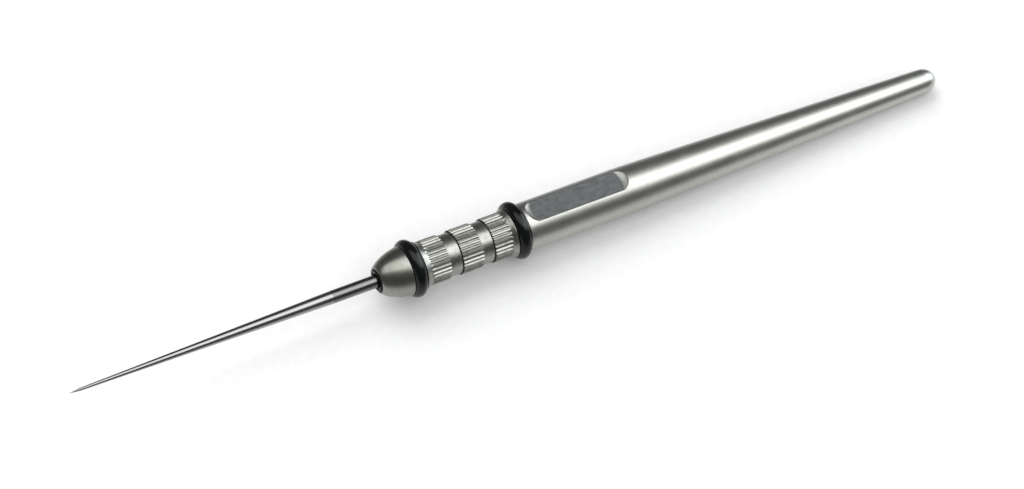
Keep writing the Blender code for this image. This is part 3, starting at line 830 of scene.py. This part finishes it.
def add_floor():
    """A pale table, which the tool touches with its rear ring and its tail.

    Shiny surfaces see it darken with distance from the tool, as painted light that falls off away from it.
    """
    ring_x = (rear_ring_low.x + rear_ring_high.x) / 2
    tail_x = handle_high.x - TAIL_LENGTH
    ring_z = rear_ring_low.z
    tail_z = AXIS_Z - TAIL_RADIUS
    floor = make_grid("table", 8, TABLE_HALF_SIZE, TABLE_HALF_SIZE)
    floor.location = (ring_x, 0.0, ring_z - TABLE_DROP)
    floor.rotation_euler = (0.0, -math.atan2(tail_z - ring_z, tail_x - ring_x), 0.0)
    nodes = Nodes("table_paper")
    grain = nodes.noise(PAPER_SCALE, detail=4.0)
    tint = nodes.mix_colour(nodes.ranged(grain, 0.0, 1.0), PAPER_DARK, PAPER)
    away = nodes.math("ABSOLUTE", nodes.axes()["Y"])
    shade = nodes.mix_colour(nodes.ranged(away, 0.0, 1.0, *MIRRORED_RUN), MIRRORED_NEAR, MIRRORED_FAR)
    reflected = nodes.add("ShaderNodeLightPath").outputs["Is Glossy Ray"]
    nodes.join(nodes.mix_colour(reflected, tint, shade), nodes.shader.inputs["Base Color"])
    nodes.shader.inputs["Roughness"].default_value = 0.9
    nodes.shader.inputs["Specular IOR Level"].default_value = 0.1
    paint(floor, nodes)


def add_shine_panel():
    """A long overhead panel that only shiny surfaces see, brighter towards the tail and soft at its edges."""
    panel = make_grid("shine_panel", 4, PANEL_HALF_WIDTH, PANEL_HALF_DEPTH)
    panel.location = PANEL_PLACE
    panel.rotation_euler = (0.0, 0.0, PANEL_YAW)
    nodes = Nodes("shine_panel_glow")
    axes = nodes.axes()
    along = nodes.ranged(axes["X"], PANEL_DIM, 1.0, *PANEL_RAMP)
    across = nodes.ranged(nodes.math("ABSOLUTE", axes["Y"]), 1.0, 0.0, *PANEL_EDGE)
    strength = nodes.math("MULTIPLY", nodes.math("MULTIPLY", along, across), PANEL_STRENGTH)
    nodes.join(strength, nodes.shader.inputs["Emission Strength"])
    nodes.shader.inputs["Emission Color"].default_value = (1.0, 1.0, 1.0, 1.0)
    nodes.shader.inputs["Base Color"].default_value = (0.0, 0.0, 0.0, 1.0)
    nodes.shader.inputs["Specular IOR Level"].default_value = 0.0
    paint(panel, nodes)
    panel.visible_diffuse = False
    panel.visible_camera = False
    panel.visible_shadow = False


def add_softbox(name, toward, size, power, colour, missed_by):
    """A square light that faces the tool, and lights only matt or only shiny surfaces."""
    data = bpy.data.lights.new(name, "AREA")
    data.shape = "RECTANGLE"
    data.size = size
    data.size_y = size
    data.energy = power
    data.color = colour
    light = bpy.data.objects.new(name, data)
    bpy.context.scene.collection.objects.link(light)
    direction = Vector(toward).normalized()
    light.location = direction * SOFTBOX_DISTANCE
    light.rotation_euler = direction.to_track_quat("Z", "X").to_euler()
    setattr(light, missed_by, False)


def add_world():
    """An even surround, brighter to matt surfaces than to shiny ones."""
    world = bpy.data.worlds.new("studio")
    world.use_nodes = True
    bpy.context.scene.world = world
    tree = world.node_tree
    background = tree.nodes["Background"]
    background.inputs["Color"].default_value = WORLD_COLOUR
    path = tree.nodes.new("ShaderNodeLightPath")
    strength = tree.nodes.new("ShaderNodeMapRange")
    strength.inputs["To Min"].default_value = WORLD_TO_SHINY
    strength.inputs["To Max"].default_value = WORLD_TO_MATT
    tree.links.new(path.outputs["Is Diffuse Ray"], strength.inputs["Value"])
    tree.links.new(strength.outputs["Result"], background.inputs["Strength"])


def add_light():
    """Shiny surfaces see the panel and the end softbox. The other softboxes light what is matt."""
    add_world()
    add_shine_panel()
    for softbox in SOFTBOXES:
        add_softbox(*softbox)
    view = bpy.context.scene.view_settings
    view.view_transform = "Standard"
    view.look = "None"


# ---------------------------------------------------------------------------------------------------
# Everything together
# ---------------------------------------------------------------------------------------------------
handle_steel = steel("handle_steel_finish_and_shade", STEEL, STEEL_DARK, 0.36, 1.2e-6, soil=0.10)
# The grip's and the nose's darker tones are painted shade
grip_steel = steel("grip_steel_finish_and_shade", GRIP_STEEL, GRIP_STEEL_DARK, 0.33, 1.5e-6, soil=0.55)
nose_steel = steel("nose_steel_finish_and_shade", NOSE_STEEL, NOSE_STEEL_DARK, 0.31, 1.8e-6, soil=0.20)
needle_steel = steel("needle_steel_finish", POLISHED, POLISHED_DARK, 0.22, 0.6e-6, GRINDING_SCALE)
collet_steel = steel("collet_steel_finish", COLLET_GREY, COLLET_DARK, 0.35, 1.0e-6)
black_rubber = rubber("black_rubber_finish", 0.25)
mouth_rubber = rubber("mouth_rubber_finish", 0.05)
# Painted shade on the handle's flat and its end hollows, with the milled face's mottle and dullness
grind_and_shade_flat(handle_steel)
dull_shank(needle_steel)
# Painted shade in the corners in front of the middle and rear knurled bands' steps
add_step_shade(grip_steel, [band[0] for band in KNURL_BANDS[1:]])

needle = make_needle()
needle_ring = make_ring("needle_ring", needle_ring_low, needle_ring_high, NEEDLE_RING_STEPS)
nose = make_nose()
front_ring = make_ring("front_ring", front_ring_low, front_ring_high)
grip = make_grip()
rear_ring = make_ring("rear_ring", rear_ring_low, rear_ring_high)
handle = make_handle()

# Each piece, the node that it replaces, the body that it rides on, its slot and its material
pieces = [
    (needle, "needle", "needle", "needle_steel", needle_steel),
    (needle_ring, "needle_o_ring", "nose_follower", "black_rubber", mouth_rubber),
    (nose, "nose_cap", "nose", "nose_steel", nose_steel),
    (front_ring, "front_o_ring", "handle_and_grip", "black_rubber", black_rubber),
    (grip, "knurled_grip", "handle_and_grip", "grip_steel", grip_steel),
    (rear_ring, "rear_o_ring", "handle_and_grip", "black_rubber", black_rubber),
    (handle, "handle", "handle_and_grip", "handle_steel", handle_steel),
]
for piece, node, body, slot, nodes in pieces:
    paint(piece, nodes)
    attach(piece, body)
    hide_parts(node)

paint(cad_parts["collet"], collet_steel)

add_camera()
add_floor()
add_light()
